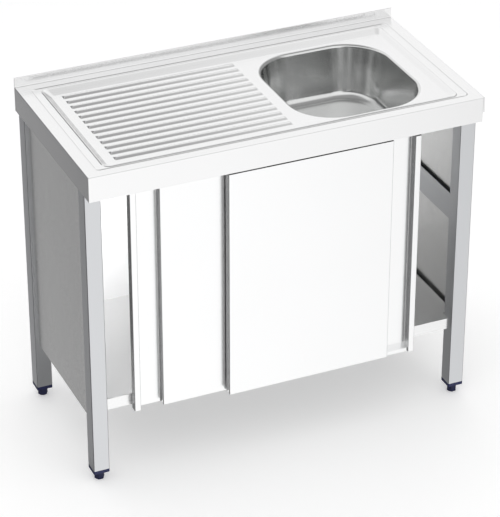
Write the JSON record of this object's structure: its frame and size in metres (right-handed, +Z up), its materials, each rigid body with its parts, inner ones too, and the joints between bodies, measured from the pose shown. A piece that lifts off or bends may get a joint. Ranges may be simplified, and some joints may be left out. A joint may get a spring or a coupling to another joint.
{
  "type": "stainless steel sink cabinet",
  "caption": "Stainless steel sink cabinet with a ribbed drainer, a deep bowl, hung sliding doors with finger grooves, a tray shelf and tube legs on screw feet.",
  "frame": {"origin": "on the floor under the middle of the worktop's outline", "axes": "+X to the user's right, +Y to the rear, +Z up"},
  "size_m": [1, 0.5, 0.875],
  "materials": {
    "satin_steel": "satin, fine brushed",
    "bowl_steel": "satin, deep drawn",
    "tube_steel": "satin, brushed along the tube",
    "panel_steel": "satin, fine brushed",
    "door_steel": "satin, brushed upright",
    "inner_steel": "mill, dull",
    "fastener_steel": "bright turned",
    "insert_plastic": "moulded, fine grain",
    "foot_plastic": "moulded, fine grain",
    "roller_nylon": "moulded",
    "stop_rubber": "matt",
    "waste_plastic": "moulded"
  },
  "bodies": {
    "cabinet": {"worktop": "satin_steel", "bowl": "bowl_steel", "drainer_stiffener": "inner_steel", "leg_front_left": "tube_steel", "leg_front_right": "tube_steel", "leg_rear_left": "tube_steel", "leg_rear_right": "tube_steel", "insert_front_left": "insert_plastic", "insert_front_right": "insert_plastic", "insert_rear_left": "insert_plastic", "insert_rear_right": "insert_plastic", "side_panel_left": "panel_steel", "side_panel_right": "panel_steel", "back_panel": "panel_steel", "top_rail_left": "inner_steel", "top_rail_right": "inner_steel", "top_rail_rear": "inner_steel", "mid_rail_left": "tube_steel", "mid_rail_right": "tube_steel", "lower_rail_left": "inner_steel", "lower_rail_right": "inner_steel", "shelf": "panel_steel", "shelf_stiffener": "inner_steel", "front_header": "inner_steel", "front_track": "inner_steel", "rear_track": "inner_steel", "track_stops": "stop_rubber", "track_rivets": "fastener_steel", "door_guide": "roller_nylon", "guide_rivets": "fastener_steel", "panel_rivets": "fastener_steel", "waste_flange": "satin_steel", "waste_gasket": "stop_rubber", "waste_body": "waste_plastic", "waste_screw": "fastener_steel"},
    "right_door": {"right_door_skin": "door_steel", "right_door_back": "inner_steel", "right_door_top": "inner_steel", "right_door_bottom": "door_steel", "right_hangers": "inner_steel", "right_hanger_screws": "fastener_steel", "right_axles": "fastener_steel"},
    "left_door": {"left_door_skin": "door_steel", "left_door_back": "inner_steel", "left_door_top": "inner_steel", "left_door_bottom": "door_steel", "left_hangers": "inner_steel", "left_hanger_screws": "fastener_steel", "left_axles": "fastener_steel"},
    "right_rollers_a_pair": {"right_rollers_a": "roller_nylon"},
    "right_rollers_b_pair": {"right_rollers_b": "roller_nylon"},
    "left_rollers_a_pair": {"left_rollers_a": "roller_nylon"},
    "left_rollers_b_pair": {"left_rollers_b": "roller_nylon"},
    "foot_front_left_body": {"foot_front_left": "foot_plastic"},
    "foot_front_right_body": {"foot_front_right": "foot_plastic"},
    "foot_rear_left_body": {"foot_rear_left": "foot_plastic"},
    "foot_rear_right_body": {"foot_rear_right": "foot_plastic"}
  },
  "joints": [
    {"name": "right_door_slide", "type": "slide", "parent": "cabinet", "child": "right_door", "axis": [1, 0, 0], "range_m": [-0.2965, 0.1605]},
    {"name": "left_door_slide", "type": "slide", "parent": "cabinet", "child": "left_door", "axis": [1, 0, 0], "range_m": [-0.0655, 0.3232]},
    {"name": "right_rollers_a_turn", "type": "hinge", "parent": "right_door", "child": "right_rollers_a_pair", "pos_m": [-0.098, -0.2355, 0.8205], "axis": [0, 1, 0], "continuous": true},
    {"name": "right_rollers_b_turn", "type": "hinge", "parent": "right_door", "child": "right_rollers_b_pair", "pos_m": [0.204, -0.2355, 0.8205], "axis": [0, 1, 0], "continuous": true},
    {"name": "left_rollers_a_turn", "type": "hinge", "parent": "left_door", "child": "left_rollers_a_pair", "pos_m": [0.0423, -0.2115, 0.8205], "axis": [0, 1, 0], "continuous": true},
    {"name": "left_rollers_b_turn", "type": "hinge", "parent": "left_door", "child": "left_rollers_b_pair", "pos_m": [-0.2597, -0.2115, 0.8205], "axis": [0, 1, 0], "continuous": true},
    {"name": "foot_front_left_adjust", "type": "slide", "parent": "cabinet", "child": "foot_front_left_body", "axis": [0, 0, -1], "range_m": [0, 0.02]},
    {"name": "foot_front_right_adjust", "type": "slide", "parent": "cabinet", "child": "foot_front_right_body", "axis": [0, 0, -1], "range_m": [0, 0.02]},
    {"name": "foot_rear_left_adjust", "type": "slide", "parent": "cabinet", "child": "foot_rear_left_body", "axis": [0, 0, -1], "range_m": [0, 0.02]},
    {"name": "foot_rear_right_adjust", "type": "slide", "parent": "cabinet", "child": "foot_rear_right_body", "axis": [0, 0, -1], "range_m": [0, 0.02]}
  ],
  "couplings": [
    {"joint": "right_rollers_a_turn", "follows": "right_door_slide", "rad_per_m": 125},
    {"joint": "right_rollers_b_turn", "follows": "right_door_slide", "rad_per_m": 125},
    {"joint": "left_rollers_a_turn", "follows": "left_door_slide", "rad_per_m": 125},
    {"joint": "left_rollers_b_turn", "follows": "left_door_slide", "rad_per_m": 125}
  ]
}
